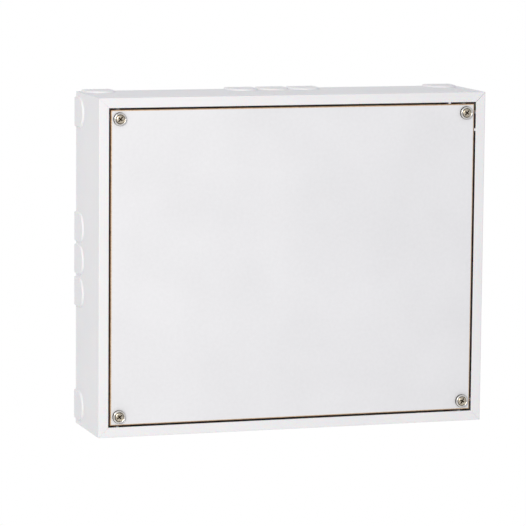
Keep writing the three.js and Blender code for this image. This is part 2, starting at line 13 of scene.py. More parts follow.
import bpy
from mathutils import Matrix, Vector


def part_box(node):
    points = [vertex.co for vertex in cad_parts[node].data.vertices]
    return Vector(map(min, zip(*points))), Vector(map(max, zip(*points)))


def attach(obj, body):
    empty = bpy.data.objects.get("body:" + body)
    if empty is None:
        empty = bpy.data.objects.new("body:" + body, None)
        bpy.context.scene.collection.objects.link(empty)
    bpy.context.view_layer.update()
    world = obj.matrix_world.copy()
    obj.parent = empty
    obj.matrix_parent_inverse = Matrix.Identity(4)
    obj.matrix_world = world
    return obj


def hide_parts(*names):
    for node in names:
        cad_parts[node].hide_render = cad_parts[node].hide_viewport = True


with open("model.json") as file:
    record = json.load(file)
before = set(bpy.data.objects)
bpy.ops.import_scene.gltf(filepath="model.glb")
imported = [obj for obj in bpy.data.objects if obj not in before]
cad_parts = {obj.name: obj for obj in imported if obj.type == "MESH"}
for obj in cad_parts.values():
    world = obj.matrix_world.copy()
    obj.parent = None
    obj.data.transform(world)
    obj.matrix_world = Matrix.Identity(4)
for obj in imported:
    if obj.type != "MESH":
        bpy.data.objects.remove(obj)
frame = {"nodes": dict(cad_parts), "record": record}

MM = 0.001
CORNERS = {"tl": (-1, 1), "tr": (1, 1), "bl": (-1, -1), "br": (1, -1)}
BREAKERS = tuple(f"breaker_{i}" for i in range(1, 7))
FACING = 0.9  # least share of a face's normal along an axis for it to count as facing that way
FACE_OUT = 90.0  # degrees about X that point a piece's own +Z out of the box, along -Y
CLEAR = 1.0  # mm that a cutting tool stands out of what it cuts
SMOOTH = 35.0  # degrees, the sharpest edge that is shaded smooth
SMOOTH_TURNED = 32.0  # degrees, the same on a turned shape
BODY_OF = {n: body for body, names in frame["record"]["behaviour"]["bodies"].items() for n in names}
SLOT_OF = {row["node"]: row["material_slot"] for row in frame["record"]["subparts"]}
log = logging.getLogger("load_center")


# ---- Finishes -----------------------------------------------------------------------------


def linear(code: str) -> tuple[float, float, float, float]:
    """Turns an sRGB hex value to linear.

    Args:
        code: the colour as "#rrggbb".

    Returns:
        Red, green, blue and alpha, linear.
    """
    levels = [int(code[i:i + 2], 16) / 255 for i in (1, 3, 5)]
    red, green, blue = (v / 12.92 if v <= 0.04045 else ((v + 0.055) / 1.055) ** 2.4 for v in levels)
    return red, green, blue, 1.0


def add_node(tree: bpy.types.NodeTree, kind: str, inputs: dict[Any, Any] | None = None,
             **settings: Any) -> bpy.types.Node:
    """Adds one shader node.

    Args:
        tree: the node tree that it goes in.
        kind: the node's type, without its "ShaderNode" prefix.
        inputs: what each input socket gets, a value or another node's output.
        settings: the node's own properties.

    Returns:
        The new node.
    """
    node = tree.nodes.new("ShaderNode" + kind)
    for key, value in settings.items():
        setattr(node, key, value)
    for key, value in (inputs or {}).items():
        if isinstance(value, bpy.types.NodeSocket):
            tree.links.new(value, node.inputs[key])
        else:
            node.inputs[key].default_value = value
    return node


@dataclass(frozen=True)
class Finish:
    """What every finish has: a name, the tones it runs between, and how rough it is."""

    NOISE_MIDDLE: ClassVar[tuple[float, float]] = (0.3, 0.7)  # where nearly all of a noise lies

    name: str
    light: str
    dark: str
    roughness: float = 0.45
    spread: float = 0.05  # roughness above and below the middle value
    patch: float = 30.0  # mm, size of the slow change of tone
    grain: float = 0.5  # mm, size of the surface grain
    relief: float = 0.01  # mm, height of the grain

    def material(self) -> bpy.types.Material:
        """Makes the material once, and gives the same one again after that.

        Returns:
            The material.
        """
        made = bpy.data.materials.get(self.name)
        if made is None:
            made = bpy.data.materials.new(self.name)
            made.use_nodes = True
            tree = made.node_tree
            place = add_node(tree, "TexCoord").outputs["Object"]
            self.draw(tree, tree.nodes["Principled BSDF"], place)
        return made

    def noise(self, tree: bpy.types.NodeTree, place: bpy.types.NodeSocket, size: float,
              detail: float = 2.0) -> bpy.types.NodeSocket:
        """Adds a noise whose blotches are of a real size.

        Args:
            tree: the node tree.
            place: the coordinates it is laid on.
            size: the size of one blotch, in mm.
            detail: octaves of finer noise on top.

        Returns:
            The noise's factor.
        """
        return add_node(tree, "TexNoise", {"Vector": place, "Scale": 1 / (size * MM),
                                           "Detail": detail}).outputs["Fac"]

    def spread_of(self, tree: bpy.types.NodeTree, factor: bpy.types.NodeSocket, low: float,
                  high: float) -> bpy.types.NodeSocket:
        """Maps a noise's useful middle to a range.

        Args:
            tree: the node tree.
            factor: the noise.
            low: the value at its low end.
            high: the value at its high end.

        Returns:
            The mapped value.
        """
        least, most = self.NOISE_MIDDLE
        return add_node(tree, "MapRange", {"Value": factor, "From Min": least, "From Max": most,
                                           "To Min": low, "To Max": high}).outputs["Result"]

    def tones(self, tree: bpy.types.NodeTree, factor: bpy.types.NodeSocket, first: str,
              second: str) -> bpy.types.NodeSocket:
        """Mixes two tones by a factor.

        Args:
            tree: the node tree.
            factor: 0 for the first tone, 1 for the second.
            first: sRGB hex value.
            second: sRGB hex value.

        Returns:
            The mixed colour.
        """
        mix = add_node(tree, "Mix", {0: factor, 6: linear(first), 7: linear(second)},
                       data_type="RGBA")
        return mix.outputs[2]

    def bump(self, tree: bpy.types.NodeTree, height: bpy.types.NodeSocket,
             relief: float) -> bpy.types.NodeSocket:
        """Turns a height to a bumped normal.

        Args:
            tree: the node tree.
            height: 0 to 1.
            relief: what a height of 1 stands for, in mm.

        Returns:
            The normal.
        """
        return add_node(tree, "Bump", {"Height": height, "Distance": relief * MM,
                                       "Strength": 1.0}).outputs["Normal"]

    def draw(self, tree: bpy.types.NodeTree, shader: bpy.types.Node,
             place: bpy.types.NodeSocket) -> None:
        """Fills the tree with a slow change of tone, a fine grain and an uneven gloss.

        Args:
            tree: the node tree.
            shader: its surface shader.
            place: object coordinates, in metres.
        """
        slow = self.spread_of(tree, self.noise(tree, place, self.patch), 0, 1)
        fine = self.noise(tree, place, self.grain, 3)
        rough = self.spread_of(tree, fine, self.roughness - self.spread,
                               self.roughness + self.spread)
        tree.links.new(self.tones(tree, slow, self.dark, self.light), shader.inputs["Base Color"])
        tree.links.new(rough, shader.inputs["Roughness"])
        tree.links.new(self.bump(tree, fine, self.relief), shader.inputs["Normal"])


@dataclass(frozen=True)
class Plastic(Finish):
    """A moulded thermoplastic with a spark-eroded grain."""

    ior: float = 1.5
    depth: float = 0.0  # mm that light travels under the surface
    scatter: float = 0.15  # share of the light that does

    def draw(self, tree: bpy.types.NodeTree, shader: bpy.types.Node,
             place: bpy.types.NodeSocket) -> None:
        """Adds the plastic's index and its slight translucence to the plain finish.

        Args:
            tree: the node tree.
            shader: its surface shader.
            place: object coordinates, in metres.
        """
        super().draw(tree, shader, place)
        shader.inputs["IOR"].default_value = self.ior
        if self.depth:
            shader.inputs["Subsurface Weight"].default_value = self.scatter
            shader.inputs["Subsurface Scale"].default_value = self.depth * MM


@dataclass(frozen=True)
class Metal(Finish):
    """A metal or a plated one, with the marks of how it was drawn, rolled or turned."""

    streak: tuple[float, float, float] = (1.0, 1.0, 1.0)  # how far the marks are drawn out
    shade_tone: str = ""  # tone of the painted shade in hollows, if there is any
    shade_band: tuple[float, float] = (0.0, 0.0)  # mm along Y, where that painted shade begins and ends
    fade: float = 0.25  # mm over which it fades

    def draw(self, tree: bpy.types.NodeTree, shader: bpy.types.Node,
             place: bpy.types.NodeSocket) -> None:
        """Adds stretched tool marks and a band of painted shade under the metal's gloss.

        Args:
            tree: the node tree.
            shader: its surface shader.
            place: object coordinates, in metres.
        """
        laid = add_node(tree, "Mapping", {"Vector": place, "Scale": [1 / s for s in self.streak]})
        super().draw(tree, shader, laid.outputs["Vector"])
        shader.inputs["Metallic"].default_value = 1.0
        # Painted shade: within a band along Y the colour darkens towards the shade tone, where
        # shade falls in hollows.
        if self.shade_tone:
            bright = shader.inputs["Base Color"].links[0].from_socket
            along = add_node(tree, "SeparateXYZ", {"Vector": place}).outputs["Y"]
            near, far = self.shade_band
            away = add_node(tree, "Math", {0: along, 1: (near + far) / 2 * MM},
                            operation="SUBTRACT")
            depth = add_node(tree, "Math", {0: away.outputs[0]}, operation="ABSOLUTE").outputs[0]
            half = (far - near) / 2
            share = add_node(tree, "MapRange", {
                "Value": depth, "From Min": (half - self.fade) * MM, "From Max": half * MM,
                "To Min": 1, "To Max": 0}).outputs["Result"]
            colour = add_node(tree, "Mix", {0: share, 6: bright, 7: linear(self.shade_tone)},
                              data_type="RGBA").outputs[2]
            tree.links.new(colour, shader.inputs["Base Color"])


@dataclass(frozen=True)
class Melamine(Finish):
    """Melamine paper pressed on board: a pearl texture with faint specks."""

    pearl: float = 1.6  # mm between the beads of the press plate
    speck: float = 3.2  # mm, a little coarser than real so that it shows
    patch_share: float = 0.6  # how much of the darker tone a patch brings
    speck_share: float = 0.4  # and a speck

    def draw(self, tree: bpy.types.NodeTree, shader: bpy.types.Node,
             place: bpy.types.NodeSocket) -> None:
        """Lays specks and the pearl of the press plate over a slow change of tone.

        Args:
            tree: the node tree.
            shader: its surface shader.
            place: object coordinates, in metres.
        """
        slow = self.spread_of(tree, self.noise(tree, place, self.patch), 0, self.patch_share)
        speck = self.spread_of(tree, self.noise(tree, place, self.speck, 4), 0, self.speck_share)
        both = add_node(tree, "Math", {0: slow, 1: speck}, operation="ADD").outputs[0]
        beads = add_node(tree, "TexVoronoi", {"Vector": place, "Scale": 1 / (self.pearl * MM)},
                         feature="SMOOTH_F1").outputs["Distance"]
        rough = self.spread_of(tree, speck, self.roughness - self.spread,
                               self.roughness + self.spread)
        tree.links.new(self.tones(tree, both, self.light, self.dark), shader.inputs["Base Color"])
        tree.links.new(rough, shader.inputs["Roughness"])
        tree.links.new(self.bump(tree, beads, self.relief), shader.inputs["Normal"])


@dataclass(frozen=True)
class Fibreboard(Finish):
    """A sawn fibreboard edge: a painted highlight next to each face, painted shade deeper down the
    edge, and burnt saw patches where that shade is full.
    """

    scorch: str = "#2e190d"
    saw: float = 6.0  # mm between burnt patches
    middle: float = 0.0  # mm, the core's middle along Y
    half: float = 2.5  # mm, from there to a face
    highlight_depth: float = 0.3  # mm, from a face down to where the painted highlight ends
    shade_band: float = 0.75  # mm, from a face down to where the painted shade is full, and the saw burns with it
    chip: float = 0.3  # how far a chip's own tone strays from its depth's
    burn: tuple[float, float] = (0.5, 0.7)  # share of the noise where a burn begins and is full

    def draw(self, tree: bpy.types.NodeTree, shader: bpy.types.Node,
             place: bpy.types.NodeSocket) -> None:
        """Mixes fibre chips with a painted highlight and shade by depth below the face, and with
        burnt patches.

        Args:
            tree: the node tree.
            shader: its surface shader.
            place: object coordinates, in metres.
        """
        along = add_node(tree, "SeparateXYZ", {"Vector": place}).outputs["Y"]
        away = add_node(tree, "Math", {0: along, 1: self.middle * MM}, operation="SUBTRACT")
        depth = add_node(tree, "Math", {0: away.outputs[0]}, operation="ABSOLUTE").outputs[0]
        # Painted highlight and shade: 0, pale, near a face; 1, dark, deeper down the edge.
        deep = add_node(tree, "MapRange", {
            "Value": depth, "From Min": (self.half - self.highlight_depth) * MM,
            "From Max": (self.half - self.shade_band) * MM}).outputs["Result"]
        chips = add_node(tree, "TexVoronoi", {"Vector": place, "Scale": 1 / (self.grain * MM)})
        tone = add_node(tree, "SeparateColor", {"Color": chips.outputs["Color"]}).outputs["Red"]
        mottled = add_node(tree, "Math", {0: tone, 1: self.chip, 2: deep},
                           operation="MULTIPLY_ADD")
        mottled.use_clamp = True
        fibre = self.tones(tree, mottled.outputs[0], self.light, self.dark)
        first, full = self.burn
        burnt = add_node(tree, "MapRange", {"Value": self.noise(tree, place, self.saw, 5),
                                            "From Min": first, "From Max": full}).outputs["Result"]
        share = add_node(tree, "Math", {0: burnt, 1: deep}, operation="MULTIPLY").outputs[0]
        colour = add_node(tree, "Mix", {0: share, 6: fibre, 7: linear(self.scorch)},
                          data_type="RGBA").outputs[2]
        tree.links.new(colour, shader.inputs["Base Color"])
        tree.links.new(self.bump(tree, self.noise(tree, place, self.grain, 4), self.relief),
                       shader.inputs["Normal"])
        shader.inputs["Roughness"].default_value = self.roughness


# Moulded ABS, spark-eroded tool: a satin near-white with a fine grain and a trace of blue.
WHITE_ABS = Plastic("moulded_white_abs", "#ecebec", "#e8e8e9", 0.5, 0.06, 60, 0.7, 0.012,
                    ior=1.53, depth=0.6)
# Melamine paper on board: neutral white, a faint orange-peel that breaks up its soft gloss.
MELAMINE = Melamine("melamine_paper_white", "#e9e9eb", "#e2e2e4", 0.4, 0.06, 70, 0.5, 0.02)
# Steel pressing, nickel plated and barrelled: a bright, slightly warm mirror with soft waves.
NICKEL = Metal("polished_nickel_plate", "#f4f1ec", "#dedbd5", 0.3, 0.06, 3, 0.8, 0.006)
# Steel screw, yellow chromate over zinc: straw gold that drifts to olive.
YELLOW_ZINC = Metal("yellow_chromated_zinc", "#efe5d2", "#c6b89e", 0.34, 0.08, 1.8, 0.35, 0.01)
# Rolled steel strip, clear zinc: cool grey with a soft brushed sheen along the strip.
ZINC = Metal("bright_zinc_plate", "#d2d4d5", "#b4b7ba", 0.34, 0.08, 14, 0.4, 0.008,
             streak=(12.0, 1.0, 1.0))
# Drawn brass bar, sawn and drilled: warm yellow with fine marks along its length.
BRASS = Metal("drawn_brass", "#e0bf72", "#c39e52", 0.28, 0.07, 9, 0.35, 0.008,
              streak=(14.0, 1.0, 1.0))
# Punched copper strip: red metal, dulled in clouds by handling.
COPPER = Metal("punched_copper_strip", "#d98d6a", "#a9623f", 0.36, 0.09, 8, 0.4, 0.008,
               streak=(10.0, 1.0, 1.0))
# Glass-filled polyamide: light warm grey, matt, with a coarser grain than the box.
DEVICE_GREY = Plastic("moulded_grey_polyamide", "#dfe0dc", "#d6d7d3", 0.5, 0.06, 24, 0.6, 0.02,
                      ior=1.53)
# Polyamide toggle: deep black with a fine satin that catches a soft highlight.
TOGGLE_BLACK = Plastic("black_polyamide", "#26282b", "#1b1d20", 0.36, 0.06, 8, 0.45, 0.01)
# Polyamide toggle of the main switch: a strong blue, satin.
TOGGLE_BLUE = Plastic("blue_polyamide", "#2f62a8", "#26508e", 0.36, 0.06, 10, 0.45, 0.01)
# Regranulated polypropylene: mid grey and slightly waxy.
GREY_PLASTIC = Plastic("grey_polypropylene", "#92969b", "#84888d", 0.48, 0.07, 16, 0.7, 0.02)
# Pressed insulating sheet: pale grey with a mottled, matt felt side.
INSULATING_SHEET = Plastic("pressed_insulating_sheet", "#d3d4d2", "#cdcecc", 0.7, 0.08, 22, 1.2,
                           0.05)
# Opal polycarbonate: a clean gloss white for the blank label carriers.
LABEL_WHITE = Plastic("opal_label_polycarbonate", "#f3f3f0", "#ecece8", 0.22, 0.04, 10, 0.8, 0.004)
# Signal red polycarbonate behind the contact position window.
SIGNAL_RED = Plastic("red_signal_polycarbonate", "#c5302a", "#b02824", 0.2, 0.04, 4, 0.6, 0.004)
# Seamless paint of the studio floor.
STUDIO_FLOOR = Plastic("pale_studio_floor", "#f4f4f3", "#efefee", 0.75, 0.04, 300, 3, 0.02)

NODE_FINISH = {
    "white_plastic": WHITE_ABS, "melamine_board": MELAMINE, "plate_grey": INSULATING_SHEET,
    "zinc": ZINC, "nickel": NICKEL, "yellow_zinc": YELLOW_ZINC, "brass": BRASS, "copper": COPPER,
    "device_grey": DEVICE_GREY, "grey_plastic": GREY_PLASTIC, "toggle_black": TOGGLE_BLACK,
    "toggle_blue": TOGGLE_BLUE,
}


# ---- Modelling ----------------------------------------------------------------------------


class Pick(Enum):
    """What an edit-mode selection is made of."""

    FACE = "FACE"
    EDGE = "EDGE"
    VERT = "VERT"


def only(*pieces: bpy.types.Object) -> None:
    """Selects these objects and no others; the first becomes the active one.

    Args:
        pieces: the objects.
    """
    bpy.ops.object.select_all(action="DESELECT")
    for piece in pieces:
        piece.select_set(True)
    bpy.context.view_layer.objects.active = pieces[0]


def edit(piece: bpy.types.Object, kind: Pick = Pick.FACE) -> None:
    """Goes into edit mode on one object with nothing selected.

    Args:
        piece: the object.
        kind: what a selection is made of.
    """
    only(piece)
    bpy.ops.object.mode_set(mode="EDIT")
    bpy.ops.mesh.select_mode(type=kind.value)
    bpy.ops.mesh.select_all(action="DESELECT")


def done() -> None:
    """Leaves edit mode."""
    bpy.ops.object.mode_set(mode="OBJECT")


def choose(piece: bpy.types.Object, keep: Callable[[Vector, Vector], bool]) -> None:
    """Selects faces in edit mode by their place.

    Args:
        piece: the object in edit mode.
        keep: says yes to a face from its centre and its normal.
    """
    bpy.ops.mesh.select_all(action="DESELECT")
    done()
    for face in piece.data.polygons:
        face.select = keep(face.center, face.normal)
    bpy.ops.object.mode_set(mode="EDIT")


def apply_modifier(piece: bpy.types.Object, kind: str, **settings: Any) -> None:
    """Adds a modifier, sets it and applies it.

    Args:
        piece: the object.
        kind: the modifier's type.
        settings: its properties.
    """
    only(piece)
    modifier = piece.modifiers.new(kind.lower(), kind)
    for key, value in settings.items():
        setattr(modifier, key, value)
    bpy.ops.object.modifier_apply(modifier=modifier.name)


def smooth(piece: bpy.types.Object, angle: float = SMOOTH) -> None:
    """Shades a piece smooth up to an angle."""
    only(piece)
    bpy.ops.object.shade_smooth_by_angle(angle=math.radians(angle))


def shade(piece: bpy.types.Object) -> None:
    """Shades a piece smooth, with its large faces kept flat."""
    smooth(piece)
    apply_modifier(piece, "WEIGHTED_NORMAL", keep_sharp=True, weight=80)


def round_edges(piece: bpy.types.Object, arris: float, steps: int = 2, above: float = 30) -> None:
    """Rounds every edge sharper than an angle and shades the piece smooth.

    Args:
        piece: the object.
        arris: width of the rounding, in mm.
        steps: faces across the rounding.
        above: the angle in degrees past which an edge counts as sharp.
    """
    apply_modifier(piece, "BEVEL", width=arris * MM, segments=steps, limit_method="ANGLE",
                   angle_limit=math.radians(above), use_clamp_overlap=False,
                   miter_outer="MITER_ARC")
    shade(piece)


def set_down(piece: bpy.types.Object, place: Vector, tip: float = 0.0, turn: float = 0.0) -> None:
    """Puts a piece that was built round the origin in its place and applies that to its mesh.

    Args:
        piece: the object.
        place: where its origin goes.
        tip: how far it is tipped about X, in degrees.
        turn: how far it is turned about its own Z before that, in degrees.
    """
    piece.rotation_mode = "ZYX"
    piece.rotation_euler = (math.radians(tip), 0, math.radians(turn))
    piece.location = place
    only(piece)
    bpy.ops.object.transform_apply(location=True, rotation=True, scale=True)
    piece.rotation_mode = "XYZ"


def another(piece: bpy.types.Object, name: str) -> bpy.types.Object:
    """Copies a piece with its own mesh.

    Args:
        piece: the object to copy.
        name: the new object's name.

    Returns:
        The copy, linked to the scene.
    """
    copy = piece.copy()
    copy.data = piece.data.copy()
    copy.name = name
    bpy.context.scene.collection.objects.link(copy)
    return copy


def dispose(*pieces: bpy.types.Object) -> None:
    """Takes helper objects out of the scene."""
    for piece in pieces:
        bpy.data.objects.remove(piece)


def merged(pieces: list[bpy.types.Object], name: str) -> bpy.types.Object:
    """Joins pieces that belong together.

    Args:
        pieces: the objects.
        name: the joined object's name.

    Returns:
        The joined object.
    """
    only(*pieces)
    bpy.ops.object.join()
    pieces[0].name = name
    return pieces[0]


def slab(name: str, low: tuple[float, float, float], high: tuple[float, float, float],
         arris: float = 0.0, steps: int = 2) -> bpy.types.Object:
    """Models a block between two corners, with its edges rounded.

    Args:
        name: the object's name.
        low: lowest corner, in mm.
        high: highest corner, in mm.
        arris: width of the rounding, in mm; 0 leaves the edges sharp.
        steps: faces across the rounding.

    Returns:
        The block, at the origin.
    """
    bpy.ops.object.select_all(action="DESELECT")
    middle = [(a + b) / 2 * MM for a, b in zip(low, high)]
    bpy.ops.mesh.primitive_cube_add(size=1, location=middle)
    piece = bpy.context.active_object
    piece.name = name
    piece.scale = [(b - a) * MM for a, b in zip(low, high)]
    bpy.ops.object.transform_apply(location=True, rotation=True, scale=True)
    if arris:
        edit(piece)
        bpy.ops.mesh.select_all(action="SELECT")
        bpy.ops.mesh.bevel(offset=arris * MM, segments=steps, affect="EDGES")
        done()
    return piece


def turned(name: str, rings: list[tuple[float, float]], sides: int = 48,
           ring: bool = False) -> bpy.types.Object:
    """Turns a shape from rings that are drawn out one from the last, along its own +Z.

    Args:
        name: the object's name.
        rings: (radius, height) of each ring in mm; a radius of 0 ends in a point.
        sides: faces round the shape.
        ring: joins the last ring to the first, for a shape with a bore.

    Returns:
        The shape, at the origin.
    """
    bpy.ops.object.select_all(action="DESELECT")
    radius, height = rings[0]
    bpy.ops.mesh.primitive_circle_add(vertices=sides, radius=radius * MM,
                                      fill_type="NOTHING" if ring else "TRIFAN",
                                      location=(0, 0, height * MM))
    piece = bpy.context.active_object
    piece.name = name
    bpy.ops.object.transform_apply(location=True, rotation=True, scale=True)
    edit(piece, Pick.EDGE)
    bpy.ops.mesh.select_all(action="SELECT")
    if not ring:
        bpy.ops.mesh.region_to_loop()
    for new_radius, new_height in rings[1:]:
        bpy.ops.mesh.extrude_edges_move(
            TRANSFORM_OT_translate={"value": (0, 0, (new_height - height) * MM)})
        middle = (0, 0, new_height * MM)
        factor = new_radius / radius if new_radius else 0
        bpy.ops.transform.resize(value=(factor, factor, 1), center_override=middle)
        radius, height = new_radius or radius, new_height
    bpy.ops.mesh.select_all(action="SELECT")
    bpy.ops.mesh.remove_doubles(threshold=0.0005 * MM)
    bpy.ops.mesh.normals_make_consistent(inside=False)
    done()
    smooth(piece, SMOOTH_TURNED)
    return piece


def cut(piece: bpy.types.Object, *tools: bpy.types.Object) -> None:
    """Cuts tools out of a piece and puts the tools away."""
    for tool in tools:
        apply_modifier(piece, "BOOLEAN", operation="DIFFERENCE", object=tool, solver="EXACT")
    dispose(*tools)


def finish_piece(piece: bpy.types.Object, finish: Finish, slot: str, body: str,
                 *nodes: str) -> bpy.types.Object:
    """Dresses a piece, hangs it on the empty of its body, and hides the nodes that it replaces.

    Args:
        piece: the object, at the origin.
        finish: its finish.
        slot: its material slot; not used.
        body: the body that it rides on.
        nodes: the nodes that it replaces.

    Returns:
        The same object.
    """
    piece.data.materials.clear()
    piece.data.materials.append(finish.material())
    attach(piece, body)
    if nodes:
        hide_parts(*nodes)
    triangles = sum(len(face.vertices) - 2 for face in piece.data.polygons)
    log.info("%s: %s, %d triangles, rides %s", piece.name, finish.name, triangles, body)
    return piece


def merged_copy(node: str, name: str, weld: float = 0.002, flat: float = 0.6) -> bpy.types.Object:
    """Copies a node's mesh, joins its loose triangles and clears the edges that aren't needed.

    Args:
        node: the node.
        name: the copy's name.
        weld: corners this close become one, in mm.
        flat: faces that turn less than this become one, in degrees.

    Returns:
        The copy.
    """
    piece = bpy.data.objects.new(name, frame["nodes"][node].data.copy())
    bpy.context.scene.collection.objects.link(piece)
    edit(piece, Pick.VERT)
    bpy.ops.mesh.select_all(action="SELECT")
    bpy.ops.mesh.remove_doubles(threshold=weld * MM)
    bpy.ops.mesh.dissolve_limited(angle_limit=math.radians(flat))
    done()
    return piece


def refined(node: str, name: str, arris: float, steps: int = 2) -> bpy.types.Object:
    """Models a finished piece on a merged copy of a node, with its edges rounded.

    Args:
        node: the node that the piece stands for.
        name: the piece's name.
        arris: width of the rounding, in mm; 0 leaves the edges as they were cut.
        steps: faces across the rounding.

    Returns:
        The dressed piece.
    """
    piece = merged_copy(node, name)
    if arris:
        round_edges(piece, arris, steps)
    slot = SLOT_OF[node]
    return finish_piece(piece, NODE_FINISH[slot], slot, BODY_OF[node], node)


# ---- The box ------------------------------------------------------------------------------


@dataclass
class Box:
    """The four side mouldings, their corner brackets with inserts, and the back plate."""

    side_arris: float = 0.2  # mm, rounding of the mouldings' edges
    sharp: float = 30.0  # degrees, past which one of their edges is rounded
    bracket_arris: float = 0.4
    insert_arris: float = 0.2
    mitre: float = 0.3  # mm, the gap that the nodes leave at each mitre
    # mm, how far each mitre of the finished box stands open
    seams: tuple[tuple[str, float], ...] = (("tl", 0.01), ("tr", 0.22), ("bl", 0.02), ("br", 0.01))
    flange: float = 10.5  # mm, from the board's edge out to the box's outer face

    def build(self) -> None:
        """Models the fixed parts of the box."""
        for side in ("top", "right", "bottom", "left"):
            self.side(side)
        for corner in CORNERS:
            refined(f"corner_bracket_{corner}", f"bracket_moulding_{corner}", self.bracket_arris)
            refined(f"threaded_insert_{corner}", f"insert_{corner}", self.insert_arris)
        refined("back_plate", "back_sheet", 0)

    def side(self, side: str) -> None:
        """Models one side moulding: closes its mitres to a hairline and rounds its other edges.

        Args:
            side: "top", "right", "bottom" or "left".
        """
        node = f"frame_{side}"
        piece = merged_copy(node, f"side_moulding_{side}")
        lying = side in ("top", "bottom")
        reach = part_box("cover_board")[1] + Vector((self.flange, 0, self.flange)) * MM
        for corner, seam in self.seams:
            sx, sz = CORNERS[corner]
            self.close(piece, Vector((sx, 0, sz)), reach, lying, (self.mitre - seam) / 2)
        edit(piece, Pick.EDGE)
        bpy.ops.mesh.edges_select_sharp(sharpness=math.radians(self.sharp))
        done()
        # The mitres' own edges stay sharp, or rounding them would open the joints again.
        for edge in piece.data.edges:
            ends = [piece.data.vertices[i].co for i in edge.vertices]
            if all(self.off_mitre(end, reach) < self.mitre * MM for end in ends):
                edge.select = False
        bpy.ops.object.mode_set(mode="EDIT")
        bpy.ops.mesh.bevel(offset=self.side_arris * MM, segments=2, affect="EDGES",
                           clamp_overlap=False, miter_outer="ARC")
        done()
        shade(piece)
        slot = SLOT_OF[node]
        finish_piece(piece, NODE_FINISH[slot], slot, BODY_OF[node], node)

    def off_mitre(self, point: Vector, reach: Vector) -> float:
        """Gives how far a point is from the nearest mitre plane.

        Args:
            point: the point.
            reach: half the box's width and height.

        Returns:
            The distance, in metres.
        """
        return abs((reach.x - abs(point.x)) - (reach.z - abs(point.z))) / math.sqrt(2)

    def close(self, piece: bpy.types.Object, corner: Vector, reach: Vector, lying: bool,
              shift: float) -> None:
        """Moves one mitred end along the moulding towards its neighbour.

        Args:
            piece: the moulding.
            corner: the signs of the corner along X and Z.
            reach: half the box's width and height.
            lying: the moulding lies along X; otherwise it stands along Z.
            shift: how far towards the mitre plane, in mm.
        """
        for vertex in piece.data.vertices:
            point = vertex.co
            near = point.x * corner.x > 0 and point.z * corner.z > 0
            if near and self.off_mitre(point, reach) < self.mitre * MM:
                axis = 0 if lying else 2
                point[axis] += corner[axis] * shift * math.sqrt(2) * MM


@dataclass
class Cover:
    """The screwed board: a fibreboard core between two melamine faces."""

    face: float = 0.3  # mm, thickness of a melamine face as drawn
    chamfer: float = 1.1  # mm, across the face
    chamfer_depth: float = 0.8  # mm, down the edge
    face_arris: float = 0.1
    hole: float = 2.5  # mm, radius of a screw hole
    hole_sides: int = 40
    drill: float = 10.0  # mm that a drill reaches to each side of the board's middle

    def build(self) -> None:
        """Models the core and its two faces."""
        low, high = (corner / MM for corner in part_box("cover_board"))
        # Medium-density fibreboard, sawn and chamfered: a painted highlight line at the face, then
        # brown with painted shade deeper down the edge.
        edge = Fibreboard("sawn_fibreboard_edge", "#e6cbaa", "#6b4729", 0.85, 0.0, 20, 0.9, 0.15,
                          middle=(low.y + high.y) / 2, half=(high.y - low.y) / 2)
        finish_piece(self.core(low, high), edge, "melamine_board", "cover", "cover_board")
        for name, near, far in (("board_face_front", low.y, low.y + self.face),
                                ("board_face_rear", high.y - self.face, high.y)):
            inset = self.chamfer
            face = slab(name, (low.x + inset, near, low.z + inset),
                        (high.x - inset, far, high.z - inset), self.face_arris)
            cut(face, *self.drills(low, high, self.hole + self.chamfer))
            finish_piece(face, MELAMINE, "melamine_board", "cover")

    def drills(self, low: Vector, high: Vector, radius: float) -> list[bpy.types.Object]:
        """Makes one cutting rod for each screw.

        Args:
            low: the board's lowest corner, in mm.
            high: its highest corner, in mm.
            radius: of the rods, in mm.

        Returns:
            The rods.
        """
        rods = []
        for corner in CORNERS:
            place = sum(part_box(f"cup_washer_{corner}"), Vector()) / 2
            rings = [(radius, -self.drill), (radius, self.drill), (0, self.drill)]
            rod = turned(f"drill_{corner}", rings, self.hole_sides)
            set_down(rod, Vector((place.x, (low.y + high.y) / 2 * MM, place.z)), FACE_OUT)
            rods.append(rod)
        return rods

    def core(self, low: Vector, high: Vector) -> bpy.types.Object:
        """Models the fibreboard core with its chamfered edges.

        Args:
            low: the board's lowest corner, in mm.
            high: its highest corner, in mm.

        Returns:
            The core.
        """
        rim = self.chamfer_depth
        core = slab("board_core", (low.x, low.y + rim, low.z), (high.x, high.y - rim, high.z))
        rise = (rim - self.face) * MM
        edit(core)
        for sign in (-1, 1):
            choose(core, lambda middle, normal: normal.y * sign > FACING)
            bpy.ops.mesh.inset(thickness=rise * self.chamfer / rim, use_even_offset=True)
            bpy.ops.transform.translate(value=(0, sign * rise, 0))
        done()
        cut(core, *self.drills(low, high, self.hole))
        return core


